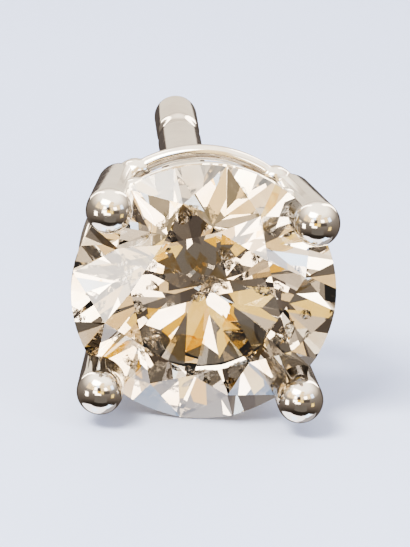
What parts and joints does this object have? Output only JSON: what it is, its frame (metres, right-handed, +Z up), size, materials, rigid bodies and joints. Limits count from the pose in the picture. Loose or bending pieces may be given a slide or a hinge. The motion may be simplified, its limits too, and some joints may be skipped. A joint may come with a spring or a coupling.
{
  "type": "stud earring",
  "caption": "Prong-set basket stud earring: a round brilliant-cut stone in polished white gold on a straight ear post, held up as worn.",
  "frame": {"origin": "on the post's axis at the flat back of the base cup, where the post leaves the setting and enters the ear", "axes": "as worn: +Z up, the stone faces -Y, the post points to +Y into the lobe, +X to the right as seen from the front"},
  "size_m": [0.005, 0.0136, 0.005],
  "materials": {
    "stone": "faceted and polished, clear with a faint champagne tint",
    "setting_metal": "high-polish white gold",
    "post_metal": "drawn and polished white gold wire"
  },
  "bodies": {
    "root": {"stone": "stone", "setting": "setting_metal", "post": "post_metal"}
  },
  "joints": []
}
